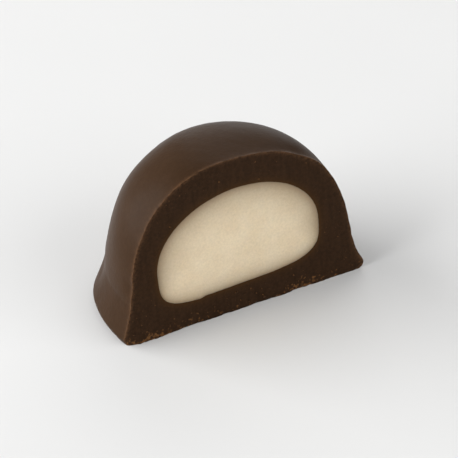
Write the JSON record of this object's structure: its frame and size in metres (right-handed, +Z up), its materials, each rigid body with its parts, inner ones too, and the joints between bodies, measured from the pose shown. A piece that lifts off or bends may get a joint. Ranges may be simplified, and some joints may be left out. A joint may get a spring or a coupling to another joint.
{
  "type": "chocolate praline",
  "caption": "Half of a moulded dark chocolate dome praline, cut upright to show its pale cream centre, standing on its flat base with a small flared foot.",
  "frame": {"origin": "on the floor under the half praline, at the middle of its length and depth", "axes": "+Z up from the flat base, -Y out of the cut face, +X to the right along the cut face"},
  "size_m": [0.0281, 0.0167, 0.0175],
  "materials": {
    "dark_chocolate": "tempered dark chocolate: satin where it left the mould, dull and slightly crumbly where it was cut",
    "cream": "dense matt cream fondant with a very fine grain"
  },
  "bodies": {
    "root": {"chocolate_shell": "dark_chocolate", "cream_filling": "cream"}
  },
  "joints": []
}
